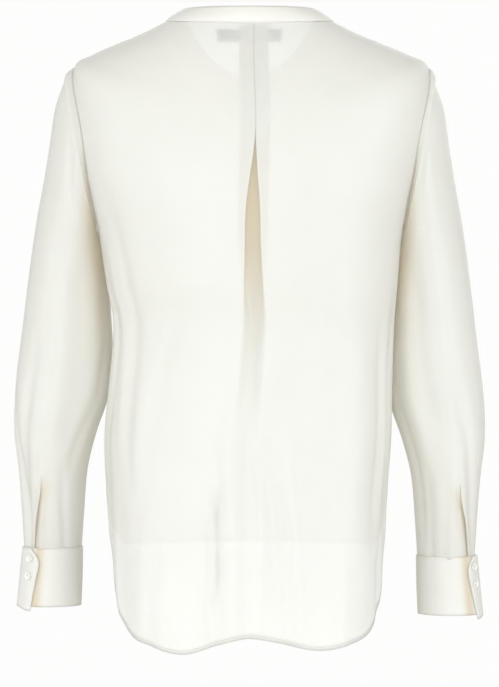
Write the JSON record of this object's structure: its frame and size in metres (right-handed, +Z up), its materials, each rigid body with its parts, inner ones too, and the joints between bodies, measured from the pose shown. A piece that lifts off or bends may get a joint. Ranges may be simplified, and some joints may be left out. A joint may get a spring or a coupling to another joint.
{
  "type": "blouse",
  "caption": "Long-sleeved ivory silk blouse with a band collar, an inverted box pleat down the back and a curved hem, filled out as worn.",
  "frame": {"origin": "mid-neck at the height of the side-neck points, where the wearer's shoulders hold the blouse", "axes": "+Z up, +Y towards the wearer's front, +X towards the wearer's right"},
  "size_m": [0.5473, 0.2706, 0.7276],
  "materials": {
    "silk": "satin",
    "button": "gloss",
    "label": "matte"
  },
  "bodies": {
    "root": {"back": "silk", "front_left": "silk", "front_right": "silk", "button_band": "silk", "collar_band": "silk", "sleeve_left": "silk", "sleeve_right": "silk", "cuff_left": "silk", "cuff_right": "silk", "cuff_left_button_1": "button", "cuff_left_button_2": "button", "cuff_right_button_1": "button", "cuff_right_button_2": "button", "front_button_1": "button", "front_button_2": "button", "front_button_3": "button", "front_button_4": "button", "front_button_5": "button", "front_button_6": "button", "neck_label": "label"}
  },
  "joints": []
}
